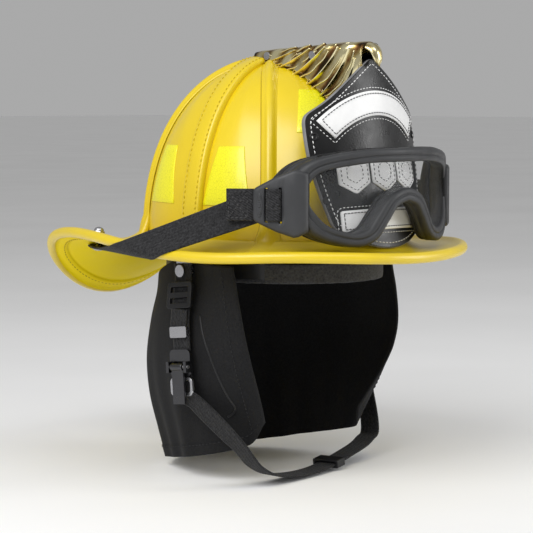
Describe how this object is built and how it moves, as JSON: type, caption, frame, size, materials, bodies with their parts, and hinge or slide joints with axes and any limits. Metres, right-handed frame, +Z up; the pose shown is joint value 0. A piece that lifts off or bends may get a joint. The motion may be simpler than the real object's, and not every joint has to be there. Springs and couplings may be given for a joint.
{
  "type": "fire helmet",
  "caption": "Combed fire helmet with a long drooping rear brim, leather front piece in a brass holder, strapped goggles, ratchet suspension, neck curtain and buckled chin strap.",
  "frame": {"origin": "middle of the head opening, on the plane where crown and brim meet", "axes": "+Z up along the wearer's head, -Y to the front, -X to the wearer's right"},
  "size_m": [0.2978, 0.3766, 0.3564],
  "materials": {
    "yellow_leather": "gloss paint over stiff leather",
    "reflective": "retroreflective tape",
    "foam": "moulded foam",
    "black_leather": "polished black leather",
    "white_leather": "smooth white leather",
    "brass": "cast and polished",
    "steel": "plated",
    "elastic": "ribbed elastic webbing",
    "goggle_rubber": "satin moulding",
    "lens": "clear, scratch coated",
    "gasket_foam": "soft foam",
    "band_plastic": "moulded nylon",
    "liner_fabric": "knitted",
    "webbing": "woven webbing",
    "curtain_cloth": "plain aramid cloth"
  },
  "bodies": {
    "shell": {"crown_shell": "yellow_leather", "impact_cap": "foam", "comb_front": "yellow_leather", "comb_right": "yellow_leather", "comb_rear": "yellow_leather", "comb_left": "yellow_leather", "comb_cap": "yellow_leather", "rib_front_right": "yellow_leather", "rib_front_left": "yellow_leather", "rib_rear_right": "yellow_leather", "rib_rear_left": "yellow_leather", "reflective_patches": "reflective", "brim": "yellow_leather", "brim_bead": "yellow_leather", "front_shield": "black_leather", "shield_top_banner": "white_leather", "shield_bottom_banner": "white_leather", "shield_plates": "white_leather", "shield_rivets": "steel", "front_holder": "brass", "holder_screws": "brass", "strap_screws": "steel", "acorn_nuts": "steel", "strap_washers": "steel", "goggle_strap_right": "elastic", "goggle_strap_left": "elastic", "strap_tail_right": "elastic", "strap_tail_left": "elastic", "headband": "band_plastic", "brow_pad": "liner_fabric", "brow_liner": "liner_fabric", "ratchet_housing": "band_plastic", "nape_pad": "liner_fabric", "crown_strap_side": "webbing", "crown_strap_long": "webbing", "crown_pad": "liner_fabric", "band_keys": "band_plastic", "neck_curtain": "curtain_cloth", "chin_anchors": "steel", "anchor_pins": "steel"},
    "goggles": {"goggle_frame": "goggle_rubber", "goggle_lens": "lens", "goggle_gasket": "gasket_foam", "goggle_arm_right": "goggle_rubber", "goggle_arm_left": "goggle_rubber", "strap_end_right": "elastic", "strap_end_left": "elastic"},
    "ratchet_knob": {"ratchet_knob": "band_plastic"},
    "band_tail_right": {"band_tail_right": "band_plastic"},
    "band_tail_left": {"band_tail_left": "band_plastic"},
    "chin_strap": {"chin_strap_right": "webbing", "chin_strap_lower": "webbing", "strap_adjuster": "band_plastic", "adjuster_tail": "webbing", "strap_tip": "steel", "buckle_body": "steel", "buckle_pin": "steel", "buckle_ring": "steel"},
    "buckle_lever": {"buckle_lever": "steel"},
    "postman_slide": {"postman_slide": "band_plastic"}
  },
  "joints": [
    {"name": "goggles_pull", "type": "slide", "parent": "shell", "child": "goggles", "axis": [0, -1, 0], "range_m": [0, 0.02], "stiffness_N_per_m": 300, "springref_m": -0.01, "deforming": ["goggle_strap_right", "goggle_strap_left"]},
    {"name": "knob_turn", "type": "hinge", "parent": "shell", "child": "ratchet_knob", "pos_m": [0, 0.087, -0.006], "axis": [0, 1, 0], "range_deg": [-60, 60]},
    {"name": "tail_right_slide", "type": "slide", "parent": "shell", "child": "band_tail_right", "axis": [1, 0, 0], "range_m": [-0.008, 0.008]},
    {"name": "tail_left_slide", "type": "slide", "parent": "shell", "child": "band_tail_left", "axis": [-1, 0, 0], "range_m": [-0.008, 0.008]},
    {"name": "chin_strap_swing", "type": "hinge", "parent": "shell", "child": "chin_strap", "pos_m": [0, 0.012, -0.012], "axis": [-1, 0, 0], "range_deg": [0, 45]},
    {"name": "buckle_open", "type": "hinge", "parent": "chin_strap", "child": "buckle_lever", "pos_m": [-0.1125, 0.00298, -0.08878], "axis": [-0.0035, 0.9942, -0.1079], "range_deg": [0, 75]},
    {"name": "slide_adjust", "type": "slide", "parent": "chin_strap", "child": "postman_slide", "axis": [0.9806, 0.1569, 0.1177], "range_m": [-0.012, 0.012]}
  ],
  "couplings": [
    {"joint": "tail_right_slide", "follows": "knob_turn", "m_per_rad": 0.0073},
    {"joint": "tail_left_slide", "follows": "knob_turn", "m_per_rad": 0.0073}
  ]
}
